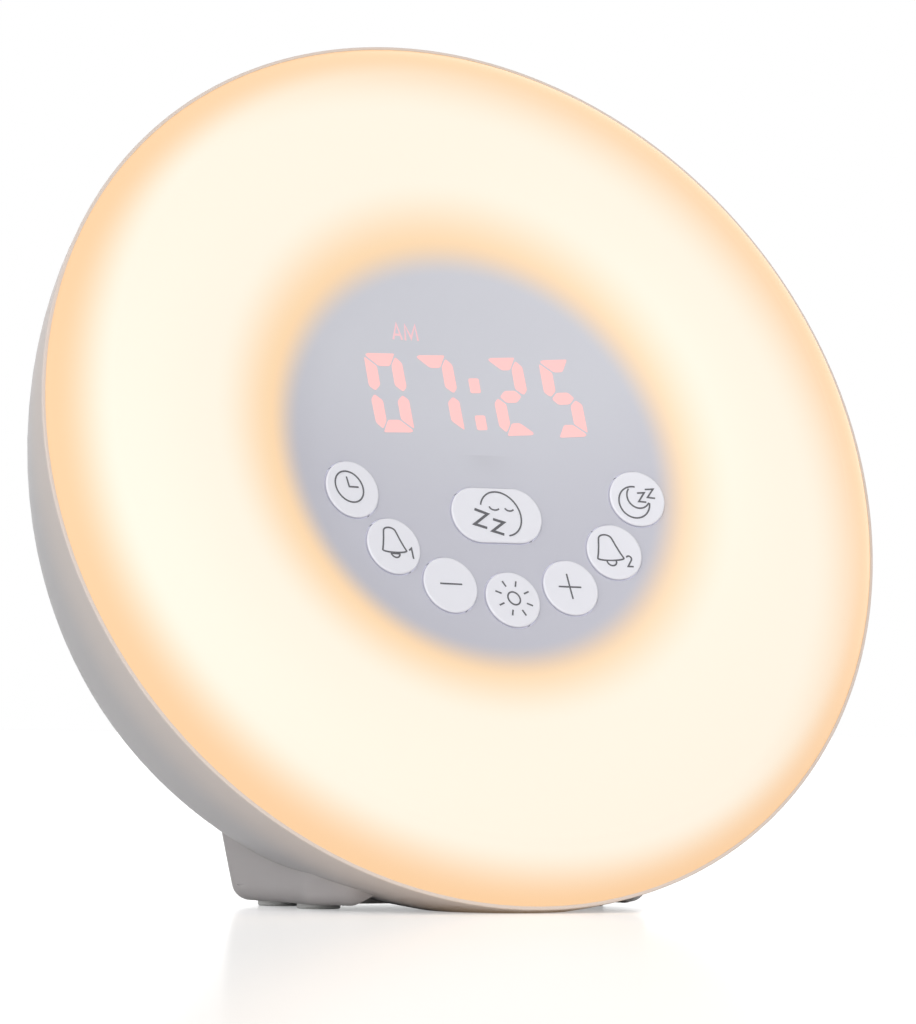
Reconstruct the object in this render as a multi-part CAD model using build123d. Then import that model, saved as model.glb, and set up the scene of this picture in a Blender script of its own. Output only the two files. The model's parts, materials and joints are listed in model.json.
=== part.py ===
from build123d import *
from math import asin, cos, degrees, radians, sin, sqrt
import os

# Sunrise alarm clock: a round light that leans back on a small foot. Its front is a domed
# opal ring round a dished control field with a display and eight keys, and its back is a
# moulded bowl with a battery bay, a loudspeaker and a supply socket.
#
# Units are millimetres and degrees. The part stands on Z = 0, faces -Y and is centred on
# the Z axis. Everything that belongs to the round body is drawn in the disc's own frame
# (x to the right, y up the disc, z out of the front, z = 0 at the rim) and then tilted.

os.makedirs("parts", exist_ok=True)

# ---------------------------------------------------------------- driving dimensions
RIM_R = 85.35            # rim of the rear housing
TILT = 19.0              # how far the disc leans back
CENTRE_HEIGHT = 81.4     # centre of the rim above the table
WALL = 2.2               # moulded wall of the rear housing
GAP = 0.25               # clearance round what moves
SLIP = 0.1               # clearance round what is fixed in a seat
OVER = 1.0               # how far a cut, or a joined piece, runs past a face

SHOULDER_R = 90.0        # first arc of the bowl behind the rim
SHOULDER_START = 8.2     # slope of the wall at the rim
SHOULDER_END = 18.0      # slope where the flank takes over
FLANK_R = 154.0          # second, flatter arc of the bowl
BACK_DEPTH = 61.0        # flat back behind the rim
CORNER_R = 10.0          # rounding between flank and flat back
LIP_W = 0.65             # thin lip that frames the diffuser
LIP_DEPTH = 2.2
RIM_ROUND = 0.25
RIB_T, RIB_H, RIB_FRONT = 1.2, 3.0, -26.0
RIB_PLACES = (-12.0, 12.0, 168.0, 192.0)

DISH_R = 300.0           # hollow control field
DISH_Z = 4.9             # height of its middle above the rim
DISH_SLOPE = 6.5         # slope at the edge of the field
SWEEP_R = 40.0           # hollow sweep from the field up to the crest
SWEEP_SLOPE = 22.0
CREST_R = 38.0           # crown of the glowing ring
CREST_SLOPE = 25.0
BROW_R = 23.4            # rounded outer edge of the ring
BROW_SLOPE = 58.0
DIFFUSER_T = 2.0
FRONT_CLEAR = 15.0       # height above the rim that the whole front stays under

KEY_R = 5.5              # round keys
KEY_ARC_R = 31.5         # arc that their centres stand on
KEY_ARC_Y = 2.7          # centre of that arc above the disc's centre
KEY_STEP = 23.15         # angle between two keys
KEY_PROUD = 0.55
KEY_TRAVEL = 0.7
KEY_EDGE = 0.35
KEY_GAP = 0.15           # clearance between a key and its hole
SNOOZE_W, SNOOZE_H, SNOOZE_Y = 18.6, 10.9, -12.0
TAB_W, TAB_REACH, TAB_Z = 4.0, 1.7, 2.2
STEM_R, STEM_Z, STEM_SLACK = 1.8, -2.6, 0.7
PLUNGER_R, PLUNGER_Z = 1.7, -5.0

DISPLAY_W, DISPLAY_H, DISPLAY_Y, DISPLAY_Z = 50.0, 26.0, 13.0, 2.0
DIGIT_X = (-18.5, -7.75, 7.45, 18.2)
DIGIT_W, DIGIT_H, DIGIT_Y = 7.0, 15.4, 11.4
SEGMENT_W, SEGMENT_GAP, SEGMENT_T = 2.5, 0.25, 0.2
DIGIT_SLANT = 3.5        # digits lean to the left at the top
COLON_W, COLON_H, COLON_REACH = 2.0, 2.8, 3.7
MARK_W, MARK_H, MARK_X, MARK_Y = 5.8, 3.2, -13.5, 23.4

SHROUD_R, SHROUD_T, SHROUD_TOP = 40.0, 1.8, 5.0
MASK_T = 1.2
SEAL_SLACK = 0.02
BOARD_T = 1.6
MAIN_BOARD_R, MAIN_BOARD_Z = 36.0, -7.0
SWITCH_W, SWITCH_H, SWITCH_ROUND = 6.0, 3.5, 0.5
SWITCH_BORE_R, SWITCH_FLOOR = 2.1, 0.3

TRAY_Z, TRAY_T = -12.0, 2.0
TRAY_FLOOR_R, TRAY_EDGE_R, TRAY_EDGE_Z, TRAY_EDGE_T = 77.5, 80.7, -3.6, 1.4
LED_BOARD_IN, LED_BOARD_OUT = 50.0, 70.0
LED_COUNT, LED_R = 24, 60.0
LED_SIZE = (3.5, 2.8, 1.4)
STAND_PLACES, STAND_R = ((20.0, -26.0), (30.0, 16.0)), 2.5
LED_SCREW_R, LED_SCREW_COUNT = 54.0, 6
SMALL_SCREW_R, SMALL_HEAD_R, SMALL_HEAD_H, SMALL_SCREW_L = 0.9, 1.7, 1.2, 4.4
LED_SCREW_L = 2.8

POST_X, POST_Y, POST_R = 31.0, 27.0, 4.5
WELL_R, POST_END, POST_FLOOR = 3.3, -22.2, 3.0
SCREW_R, SCREW_HEAD_R, SCREW_HEAD_H = 1.45, 2.8, 2.0
PILOT_SLACK = 0.05
TRAY_BOSS_R, TRAY_BOSS_TOP = 3.5, 0.6

DOOR_W, DOOR_BOTTOM, DOOR_T, DOOR_TOP_R = 51.0, 4.25, 2.0, 56.3
TONGUE_W, TONGUE_T, TONGUE_TOP, TONGUE_SKIN = 1.2, 1.0, 36.0, 0.8
GRIP_ROWS, GRIP_PITCH, GRIP_W, GRIP_H, GRIP_DEPTH = 5, 2.6, 16.0, 1.2, 0.6
BAY_W, BAY_H, BAY_BOTTOM, BAY_DEPTH, BAY_WALL = 47.0, 33.0, 8.0, 12.0, 1.6
CELLS, CONTACT_T, CONTACT_W, CONTACT_Z = 3, 0.4, 8.0, 6.5

SPEAKER_Y, SPEAKER_R = -18.0, 18.8
GRILLE_R, SLOT_W, SLOT_PITCH, SLOT_ROWS = 15.0, 2.0, 3.8, 7
SEAT_T, SEAT_H = 1.2, 1.6
SPEAKER_SCREW_AT, SPEAKER_BOSS_R, SPEAKER_HEAD_R = 21.0, 2.4, 2.6
SPEAKER_SCREW_TURNS = (45.0, 135.0, 225.0, 315.0)
SPEAKER_SCREW_L, SPEAKER_PILOT = 2.3, 2.5
BASKET_RIM_T, BASKET_RIM_W = 1.6, 2.2
BASKET_H, BASKET_FLOOR_R, BASKET_T, BASKET_HOLE_R = 10.0, 11.5, 1.0, 9.0
CONE_T, CONE_LIFT, CONE_H, COIL_R, COIL_T, COIL_L = 0.5, 0.8, 3.8, 6.2, 0.8, 1.6
CAP_LIFT = 2.5
MAGNET_R, MAGNET_H, MAGNET_PLATE_R, MAGNET_PLATE_H = 10.5, 5.0, 7.0, 1.2

SOCKET_Y, SOCKET_W, SOCKET_H, SOCKET_L = -43.5, 7.6, 2.7, 5.6
SOCKET_T, SOCKET_ROUND, SOCKET_SLACK, SOCKET_SUNK = 0.35, 1.0, 0.3, 0.3
TONGUE_SIDE, SOCKET_TONGUE_T = 1.4, 0.7
POWER_BOARD_W, POWER_BOARD_L = 22.0, 20.0
RAIL_L, RAIL_T, RAIL_LAP = 13.0, 1.8, 1.5

FOOT_BASE_Z = 1.0        # underside of the foot above the table
FOOT_FLARE_Z = 8.9       # height where the flared corners end
FOOT_TOP_Z = 21.4
FOOT_WALL = 2.2
FOOT_EDGE = 3.4
# corners of the foot's left half (x, y behind the disc's centre, radius): rear corner, and
# both ends of the slanted front facet
FOOT_LOW = ((-36.1, 30.0, 7.0), (-36.0, -1.3, 4.0), (-29.5, -9.5, 4.0))
FOOT_FLARE = ((-37.6, 31.8, 7.0), (-34.9, -6.9, 4.0), (-28.5, -15.0, 4.0))
FOOT_HIGH = ((-39.4, 35.0, 7.0), (-33.0, -12.0, 4.0), (-27.0, -20.0, 4.0))
ARCH_HALF, ARCH_TOP, ARCH_BACK = 29.5, 10.0, 1.5
PAD_R, PAD_T, PAD_EDGE = 4.0, 1.6, 0.4
PAD_PLACES = ((27.5, 7.0), (28.0, 22.5))
FOOT_SCREW_X, FOOT_SCREW_Y, FOOT_SCREW_L = 20.0, 22.5, 9.0
FOOT_HEAD_Z = 3.4        # underside of the plastic that the foot's screws pull on
FOOT_BOSS_R, HOUSING_BOSS_R = 4.2, 3.6
FOOT_BOSS_TOP, FOOT_PILOT_TOP = 17.0, 14.0

# ---------------------------------------------------------------- worked-out places
s_start, s_end = radians(SHOULDER_START), radians(SHOULDER_END)
SHOULDER_CENTRE = (RIM_R - SHOULDER_R * cos(s_start), SHOULDER_R * sin(s_start))
FLANK_CENTRE = (
    SHOULDER_CENTRE[0] + (SHOULDER_R - FLANK_R) * cos(s_end),
    SHOULDER_CENTRE[1] - (SHOULDER_R - FLANK_R) * sin(s_end),
)
CORNER_Z = CORNER_R - BACK_DEPTH
CORNER_X = FLANK_CENTRE[0] + sqrt((FLANK_R - CORNER_R) ** 2 - (FLANK_CENTRE[1] - CORNER_Z) ** 2)
CORNER_SLOPE = degrees(asin((FLANK_CENTRE[1] - CORNER_Z) / (FLANK_R - CORNER_R)))

CREST_X = (
    DISH_R * sin(radians(DISH_SLOPE))
    + SWEEP_R * (sin(radians(SWEEP_SLOPE)) - sin(radians(DISH_SLOPE)))
    + CREST_R * sin(radians(SWEEP_SLOPE))
)
CREST_Z = (
    DISH_Z
    + DISH_R * (1 - cos(radians(DISH_SLOPE)))
    + SWEEP_R * (cos(radians(DISH_SLOPE)) - cos(radians(SWEEP_SLOPE)))
    - CREST_R * cos(radians(SWEEP_SLOPE))
)
tilt = radians(TILT)
FRONT_REACH = CREST_X * sin(tilt) + CREST_Z * cos(tilt) + CREST_R
BACK_REACH = CORNER_X * sin(tilt) - CORNER_Z * cos(tilt) + CORNER_R
CENTRE_Y = (FRONT_REACH - BACK_REACH) / 2

DISC = Plane(
    origin=(0, CENTRE_Y, CENTRE_HEIGHT), x_dir=(1, 0, 0), z_dir=(0, -cos(tilt), sin(tilt))
).location
BACK_INSIDE = WALL - BACK_DEPTH
DOOR_Z = DOOR_T - BACK_DEPTH
BAY_Z = DOOR_Z + GAP
BAY_TOP = BAY_BOTTOM + BAY_H
WELL_FLOOR = POST_END - POST_FLOOR
POWER_BOARD_Y = SOCKET_Y - SOCKET_H / 2 - BOARD_T
LED_BOARD_TOP = TRAY_Z + BOARD_T
KEYS = {
    "clock": -3, "alarm_one": -2, "minus": -1, "light": 0, "plus": 1, "alarm_two": 2, "sleep": 3
}


# ---------------------------------------------------------------- shared shapes
def lathe(edges):
    """Solid turned about the disc's axis from a closed outline of radius and z."""
    return revolve(Plane.XZ * make_face(edges), Axis.Z)


def ring(inner_r, outer_r, low_z, high_z):
    """Flat ring, or a disc where the inner radius is 0, between two heights."""
    solid = Pos(0, 0, low_z) * extrude(Circle(outer_r), high_z - low_z)
    if inner_r > 0:
        solid -= Pos(0, 0, low_z) * extrude(Circle(inner_r), high_z - low_z)
    return solid


def block(x_range, y_range, z_range):
    """Box given by its two limits on each axis."""
    size = [high - low for low, high in (x_range, y_range, z_range)]
    middle = [(high + low) / 2 for low, high in (x_range, y_range, z_range)]
    return Pos(*middle) * Box(*size)


def bowl(inset, front_z):
    """Solid of the rear bowl, its wall set in by inset, from its back to front_z."""
    shoulder = CenterArc(
        SHOULDER_CENTRE, SHOULDER_R - inset, -SHOULDER_START, SHOULDER_START - SHOULDER_END
    )
    flank = CenterArc(FLANK_CENTRE, FLANK_R - inset, -SHOULDER_END, SHOULDER_END - CORNER_SLOPE)
    corner = CenterArc((CORNER_X, CORNER_Z), CORNER_R - inset, -CORNER_SLOPE, CORNER_SLOPE - 90)
    mouth = shoulder @ 0
    closing = [corner @ 1, (0, inset - BACK_DEPTH), (0, max(front_z, mouth.Y))]
    if front_z > mouth.Y:
        closing.append((mouth.X, front_z))
    return lathe([shoulder, flank, corner, Polyline(*closing, mouth)])


def dome(inset, back_z):
    """Solid under the diffuser's surface, sunk by inset (raised if negative), down to back_z."""
    at, down = (0.0, DISH_Z - inset), -90.0
    dish = CenterArc((0, DISH_Z + DISH_R), DISH_R + inset, down, DISH_SLOPE)
    foot = dish @ 1
    sweep_r = SWEEP_R + inset
    lean = radians(DISH_SLOPE)
    sweep_centre = (foot.X - sweep_r * sin(lean), foot.Y + sweep_r * cos(lean))
    sweep = CenterArc(sweep_centre, sweep_r, down + DISH_SLOPE, SWEEP_SLOPE - DISH_SLOPE)
    crest_start = 90.0 + SWEEP_SLOPE
    crest = CenterArc((CREST_X, CREST_Z), CREST_R - inset, crest_start, -SWEEP_SLOPE - CREST_SLOPE)
    turn = radians(CREST_SLOPE)
    brow_centre = (
        CREST_X + (CREST_R - BROW_R) * sin(turn),
        CREST_Z + (CREST_R - BROW_R) * cos(turn),
    )
    brow = CenterArc(brow_centre, BROW_R - inset, 90.0 - CREST_SLOPE, CREST_SLOPE - BROW_SLOPE)
    edge_r = (brow @ 1).X
    closing = Polyline(brow @ 1, (edge_r, back_z), (0, back_z), at)
    return lathe([dish, sweep, crest, brow, closing])


def key_centre(step):
    """Place of a round key on its arc, counted from the lowest one."""
    turn = radians(step * KEY_STEP)
    return KEY_ARC_R * sin(turn), KEY_ARC_Y - KEY_ARC_R * cos(turn)


def all_key_places():
    return [key_centre(step) for step in KEYS.values()] + [(0, SNOOZE_Y)]


def snooze_outline(grow):
    return SlotOverall(SNOOZE_W + 2 * grow, SNOOZE_H + 2 * grow)


def post_places():
    return [(x, y) for x in (-POST_X, POST_X) for y in (-POST_Y, POST_Y)]


def mirrored(places):
    """The given places and their mirror images on the left."""
    return [(side * x, y) for x, y in places for side in (-1, 1)]


def foot_screw_places():
    return mirrored([(FOOT_SCREW_X, CENTRE_Y + FOOT_SCREW_Y)])


def pad_places():
    return mirrored([(x, CENTRE_Y + y) for x, y in PAD_PLACES])


def speaker_screw_places():
    turns = [Rot(0, 0, turn) * Pos(SPEAKER_SCREW_AT, 0) for turn in SPEAKER_SCREW_TURNS]
    return [Pos(0, SPEAKER_Y) * turn for turn in turns]


def led_screw_places():
    return [Rot(0, 0, 360 / LED_SCREW_COUNT * n) * Pos(LED_SCREW_R, 0) for n in range(LED_SCREW_COUNT)]


def write(node, shape):
    export_step(shape, f"parts/{node}.step")


# ---------------------------------------------------------------- rear housing
def speaker_slots():
    """Rows of slots that fill a round field in the flat back."""
    slots = Sketch()
    for row in range(SLOT_ROWS):
        offset = (row - (SLOT_ROWS - 1) / 2) * SLOT_PITCH
        length = 2 * sqrt(GRILLE_R ** 2 - offset ** 2)
        slots += Pos(0, SPEAKER_Y + offset) * SlotOverall(length, SLOT_W)
    return Pos(0, 0, -BACK_DEPTH - OVER) * extrude(slots, WALL + 2 * OVER)


def battery_box():
    """Thick floor under the door with the walls of the battery bay on it."""
    reach = DOOR_W / 2 + TONGUE_W + SEAT_T
    floor = block((-reach, reach), (DOOR_BOTTOM - SEAT_T, RIM_R), (-BACK_DEPTH, BAY_Z + BAY_WALL))
    floor &= bowl(WALL / 2, 0)
    side = BAY_W / 2 + BAY_WALL
    walls = block(
        (-side, side),
        (BAY_BOTTOM - BAY_WALL, BAY_TOP + BAY_WALL),
        (DOOR_Z, BAY_Z + BAY_DEPTH + BAY_WALL),
    )
    return floor + walls


def tongue(grow, top):
    """Rail along both sides of the door, grown by grow to give the grooves that it slides in."""
    reach = DOOR_W / 2 + TONGUE_W + grow
    low = TONGUE_SKIN - BACK_DEPTH
    return block((-reach, reach), (DOOR_BOTTOM - grow, top), (low - grow, low + TONGUE_T + grow))


def battery_cuts():
    """Recess and grooves of the door, open over the rounded top, and the bay under it."""
    reach = DOOR_W / 2 + GAP
    recess = block((-reach, reach), (DOOR_BOTTOM - GAP, RIM_R), (-BACK_DEPTH - OVER, BAY_Z))
    bay = block((-BAY_W / 2, BAY_W / 2), (BAY_BOTTOM, BAY_TOP), (DOOR_Z, BAY_Z + BAY_DEPTH))
    return recess + bay + tongue(GAP, RIM_R)


def screw_posts():
    """Pillars from the flat back to the tray, with the wells that the screws drop into."""
    posts, wells = Part(), Part()
    for x, y in post_places():
        posts += Pos(x, y) * ring(0, POST_R, BACK_INSIDE - OVER, POST_END)
        wells += Pos(x, y) * ring(0, WELL_R, -BACK_DEPTH - OVER, WELL_FLOOR)
        wells += Pos(x, y) * ring(0, SCREW_R + GAP, WELL_FLOOR - OVER, POST_END + OVER)
    return posts, wells


def board_rails():
    """Two grooved rails that the supply board slides into."""
    half = POWER_BOARD_W / 2
    low, high = POWER_BOARD_Y, POWER_BOARD_Y + BOARD_T
    end = BACK_INSIDE + RAIL_L
    rails = Part()
    for side in (-1, 1):
        across = sorted((side * (half - RAIL_LAP), side * (half + RAIL_T)))
        groove = sorted((side * (half - RAIL_LAP - OVER), side * (half + SLIP)))
        rail = block(across, (low - RAIL_LAP, high + RAIL_LAP), (BACK_INSIDE - OVER, end))
        rails += rail - block(groove, (low - SLIP, high + SLIP), (BACK_INSIDE, end + OVER))
    return rails


def speaker_seat():
    """Ring that centres the loudspeaker, with four bosses round it, and their pilot holes."""
    seat_r = SPEAKER_R + SLIP
    low, high = BACK_INSIDE - OVER, BACK_INSIDE + SEAT_H
    boss = ring(0, SPEAKER_BOSS_R, low, high)
    pilot = ring(0, SMALL_SCREW_R + PILOT_SLACK, high - SPEAKER_PILOT, high)
    bosses = Part() + [place * boss for place in speaker_screw_places()]
    bosses -= Pos(0, SPEAKER_Y) * ring(0, seat_r, low, high)
    seat = Pos(0, SPEAKER_Y) * ring(seat_r, seat_r + SEAT_T, low, high)
    return seat + bosses, [place * pilot for place in speaker_screw_places()]


def wall_ribs():
    """Upright ribs that stiffen the bowl's inner wall on both sides."""
    ribs = Part()
    for turn in RIB_PLACES:
        ribs += Rot(0, 0, turn) * block((CORNER_X, RIM_R), (-RIB_T / 2, RIB_T / 2), (-BACK_DEPTH, RIB_FRONT))
    return (ribs & bowl(WALL / 2, 0)) - bowl(WALL + RIB_H, OVER)


def foot_bosses():
    """Pillars inside the bowl that the foot's screws bite into, in the part's frame."""
    bosses, pilots = Part(), Part()
    for x, y in foot_screw_places():
        bosses += Pos(x, y) * ring(0, HOUSING_BOSS_R, 0, FOOT_BOSS_TOP)
        pilots += Pos(x, y) * ring(0, SCREW_R + PILOT_SLACK, 0, FOOT_PILOT_TOP)
    return bosses & (DISC * bowl(WALL / 2, 0)), pilots


def socket_hole():
    mouth = RectangleRounded(SOCKET_W + 2 * SOCKET_SLACK, SOCKET_H + 2 * SOCKET_SLACK, SOCKET_ROUND)
    return Pos(0, SOCKET_Y, -BACK_DEPTH - OVER) * extrude(mouth, WALL + 2 * OVER)


def rear_housing():
    """Moulded bowl with the diffuser's lip, speaker grille, battery bay, posts and socket hole."""
    outside = bowl(0, 0)
    rim = outside.faces().sort_by(Axis.Z)[-1].outer_wire().edges()
    shell = fillet(rim, RIM_ROUND) - bowl(WALL, OVER)
    shell -= ring(0, RIM_R - LIP_W, -LIP_DEPTH, OVER)
    posts, wells = screw_posts()
    seat, speaker_pilots = speaker_seat()
    shell += [battery_box(), posts, seat, board_rails(), wall_ribs()]
    shell -= [wells, battery_cuts(), speaker_slots(), socket_hole(), *speaker_pilots]
    bosses, pilots = foot_bosses()
    housing = DISC * shell + bosses - pilots
    below_table = block((-RIM_R, RIM_R), (-2 * RIM_R, 2 * RIM_R), (-RIM_R, 0))
    return housing - below_table


def battery_door():
    """Cover of the battery bay, flush with the back, that slides up over its rounded top."""
    plate = block((-DOOR_W / 2, DOOR_W / 2), (DOOR_BOTTOM, RIM_R), (-BACK_DEPTH - OVER, DOOR_Z))
    plate += tongue(0, TONGUE_TOP)
    plate &= bowl(0, 0) & ring(0, DOOR_TOP_R, -BACK_DEPTH - OVER, 0)
    for row in range(GRIP_ROWS):
        y = CORNER_X - GRIP_PITCH * (row + 2)
        plate -= Pos(0, y, -BACK_DEPTH) * Box(GRIP_W, GRIP_H, 2 * GRIP_DEPTH)
    return DISC * plate


def battery_contacts():
    """Sheet contacts at both ends of the cells."""
    contacts = Part()
    pitch = BAY_H / CELLS
    for row in range(CELLS):
        y = BAY_BOTTOM + pitch * (row + 0.5)
        for side in (-1, 1):
            face = side * (BAY_W - CONTACT_T) / 2
            contacts += Pos(face, y, BAY_Z + CONTACT_Z) * Box(CONTACT_T, CONTACT_W, CONTACT_W)
    return DISC * contacts


# ---------------------------------------------------------------- foot
def foot_section(corners, z):
    """Symmetric rounded outline of the foot at one height."""
    half = [(x, CENTRE_Y + y) for x, y, r in corners]
    other = [(-x, y) for x, y in reversed(half)]
    radii = [r for x, y, r in corners]
    outline = FilletPolyline(*half, *other, radius=radii + radii[::-1], close=True)
    return Pos(0, 0, z) * make_face(outline)


def inner_corners(corners):
    """Corners of the hollow behind the front arch, one wall inside the outer ones."""
    (rear_x, rear_y, rear_r), (crease_x, crease_y, _), _ = corners
    front_y = ARCH_BACK + FOOT_WALL
    share = (front_y - rear_y) / (crease_y - rear_y)
    side_x = rear_x + share * (crease_x - rear_x)
    rear = (rear_x + FOOT_WALL, rear_y - FOOT_WALL, rear_r - FOOT_WALL)
    return rear, (side_x + FOOT_WALL, front_y, FOOT_WALL)


def foot_body(shape, low_z):
    """Flared block of the foot, lower and upper half, from three outlines."""
    heights = (low_z, FOOT_FLARE_Z, FOOT_TOP_Z)
    outlines = zip((FOOT_LOW, FOOT_FLARE, FOOT_HIGH), heights)
    low, flare, high = [foot_section(shape(corners), z) for corners, z in outlines]
    return loft([low, flare], ruled=True), loft([flare, high], ruled=True)


def foot_arch():
    """Low arch through the front of the foot, under the bowl."""
    radius = (ARCH_HALF ** 2 + ARCH_TOP ** 2) / (2 * ARCH_TOP)
    tunnel = Pos(0, CENTRE_Y + ARCH_BACK, ARCH_TOP - radius) * Rot(90, 0, 0)
    return tunnel * extrude(Circle(radius), 2 * RIM_R)


def foot_base():
    """Hollow foot that carries the bowl, open in an arch at the front, with pockets for the pads."""
    lower, upper = foot_body(tuple, FOOT_BASE_Z)
    bottom = lower.faces().sort_by(Axis.Z)[0]
    foot = fillet(bottom.edges(), FOOT_EDGE) + upper
    foot -= foot_body(inner_corners, FOOT_BASE_Z + FOOT_WALL)
    foot -= foot_arch()
    for x, y in foot_screw_places():
        foot += Pos(x, y) * ring(0, FOOT_BOSS_R, FOOT_BASE_Z, FOOT_BOSS_TOP)
        foot -= Pos(x, y) * ring(0, SCREW_R + GAP, 0, FOOT_TOP_Z)
        foot -= Pos(x, y) * ring(0, SCREW_HEAD_R + GAP, 0, FOOT_HEAD_Z)
    for x, y in pad_places():
        foot -= Pos(x, y) * ring(0, PAD_R + SLIP, 0, PAD_T)
    return foot - DISC * (bowl(0, 0) + ring(0, RIM_R, 0, 2 * FRONT_CLEAR))


def foot_pads():
    """Four soft clear pads that the clock stands on."""
    pad = fillet(ring(0, PAD_R, 0, PAD_T).edges().sort_by(Axis.Z)[:1], PAD_EDGE)
    return [Pos(x, y) * pad for x, y in pad_places()]


def screw(thread_r, head_r, head_h, length):
    """Pan-head screw with its head below Z = 0 and its thread above."""
    return ring(0, head_r, -head_h, 0) + ring(0, thread_r, 0, length)


def foot_screws():
    """Two screws that hold the foot to the bowl from below."""
    one = screw(SCREW_R, SCREW_HEAD_R, SCREW_HEAD_H, FOOT_SCREW_L)
    return [Pos(x, y, FOOT_HEAD_Z) * one for x, y in foot_screw_places()]


# ---------------------------------------------------------------- front
def key_holes(grow):
    """Outlines of all eight keys, grown by a clearance."""
    holes = Pos(0, SNOOZE_Y) * snooze_outline(grow)
    for step in KEYS.values():
        holes += Pos(*key_centre(step)) * Circle(KEY_R + grow)
    return holes


def front_diffuser():
    """Opal front in one piece: glowing ring, dished control field and key holes."""
    shell = dome(0, -LIP_DEPTH) - dome(DIFFUSER_T, -LIP_DEPTH)
    return DISC * (shell - extrude(key_holes(KEY_GAP), FRONT_CLEAR))


def key_cap(outline, place, turn, tab_length):
    """Key with a hollowed top, two tabs that keep it in, and the stem that works its switch."""
    x, y = place
    cap = Pos(x, y, TAB_Z) * extrude(outline, FRONT_CLEAR)
    cap &= dome(-KEY_PROUD, 0)
    rim = cap.edges().filter_by(lambda edge: edge.center().Z > DISH_Z)
    cap = fillet(rim, KEY_EDGE)
    tab = Pos(x, y, TAB_Z) * Rot(0, 0, turn) * extrude(Rectangle(tab_length, TAB_W), FRONT_CLEAR)
    tab &= dome(DIFFUSER_T + GAP, 0)
    stem = Pos(x, y) * ring(0, STEM_R, STEM_Z, TAB_Z + OVER)
    return DISC * (cap + tab + stem)


def round_key(step):
    span = 2 * (KEY_R + TAB_REACH)
    return key_cap(Circle(KEY_R), key_centre(step), step * KEY_STEP + 90, span)


def snooze_key():
    return key_cap(snooze_outline(0), (0, SNOOZE_Y), 0, SNOOZE_W + 2 * TAB_REACH)


def plunger(place):
    """Plunger of a switch, pushed in by the key's stem."""
    return DISC * Pos(*place) * ring(0, PLUNGER_R, PLUNGER_Z, STEM_Z)


# ---------------------------------------------------------------- inside
def centre_shroud():
    """Light-tight cup behind the control field, with the display's window and stem holes."""
    wall = ring(SHROUD_R - SHROUD_T, SHROUD_R, TRAY_Z, SHROUD_TOP)
    mask = ring(0, SHROUD_R - SHROUD_T / 2, 0, MASK_T)
    window = Rectangle(DISPLAY_W + 2 * GAP, DISPLAY_H + 2 * GAP)
    mask -= Pos(0, DISPLAY_Y, -OVER) * extrude(window, MASK_T + 2 * OVER)
    for x, y in all_key_places():
        mask -= Pos(x, y) * ring(0, STEM_R + STEM_SLACK, -OVER, MASK_T + OVER)
    return DISC * (wall + mask)


def seal_ring():
    """Foam between shroud and diffuser that keeps the ring's light out of the middle."""
    foam = ring(SHROUD_R - SHROUD_T, SHROUD_R, SHROUD_TOP, FRONT_CLEAR)
    return DISC * (foam & dome(DIFFUSER_T + SEAL_SLACK, 0))


def main_board():
    """Round board that carries the display and the switches, on four standoffs."""
    board = ring(0, MAIN_BOARD_R, MAIN_BOARD_Z - BOARD_T, MAIN_BOARD_Z)
    for x, y in mirrored(STAND_PLACES):
        board -= Pos(x, y) * ring(0, SMALL_SCREW_R + SLIP, MAIN_BOARD_Z - 2 * BOARD_T, 0)
    return DISC * board


def tact_switches():
    """Switch housings under the eight keys, each with the bore its plunger moves in."""
    top = MAIN_BOARD_Z + SWITCH_H
    outline = RectangleRounded(SWITCH_W, SWITCH_W, SWITCH_ROUND)
    bore_floor = PLUNGER_Z - KEY_TRAVEL - SWITCH_FLOOR
    body = Pos(0, 0, MAIN_BOARD_Z) * extrude(outline, SWITCH_H)
    body -= ring(0, SWITCH_BORE_R, bore_floor, top + OVER)
    return [DISC * Pos(x, y) * body for x, y in all_key_places()]


def display_module():
    half_w, half_h = DISPLAY_W / 2, DISPLAY_H / 2
    return DISC * block(
        (-half_w, half_w), (DISPLAY_Y - half_h, DISPLAY_Y + half_h), (MAIN_BOARD_Z, DISPLAY_Z)
    )


def segment_bar(length):
    """Bar with pointed ends, lying along x."""
    half, nib = length / 2, SEGMENT_W / 2
    return Polygon(
        (half, 0), (half - nib, nib), (nib - half, nib), (-half, 0),
        (nib - half, -nib), (half - nib, -nib), align=None,
    )


def digit():
    """Seven bars of one digit, centred on the origin."""
    across = DIGIT_W - SEGMENT_W
    half_up = (DIGIT_H - SEGMENT_W) / 2
    flat = segment_bar(across - SEGMENT_GAP)
    tall = Rot(0, 0, 90) * segment_bar(half_up - SEGMENT_GAP)
    bars = [Pos(0, y) * flat for y in (-half_up, 0, half_up)]
    for x in (-across / 2, across / 2):
        bars += [Pos(x, y) * tall for y in (-half_up / 2, half_up / 2)]
    return bars


def display_segments():
    """Bars of the four digits, the colon and the morning mark on the display's face."""
    pieces = []
    for x in DIGIT_X:
        pieces += [Pos(x, DIGIT_Y) * Rot(0, 0, DIGIT_SLANT) * bar for bar in digit()]
    for side in (-1, 1):
        pieces.append(Pos(0, DIGIT_Y + side * COLON_REACH) * Rectangle(COLON_W, COLON_H))
    pieces.append(Pos(MARK_X, MARK_Y) * Rectangle(MARK_W, MARK_H))
    return [DISC * Pos(0, 0, DISPLAY_Z) * extrude(piece, SEGMENT_T) for piece in pieces]


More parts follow.
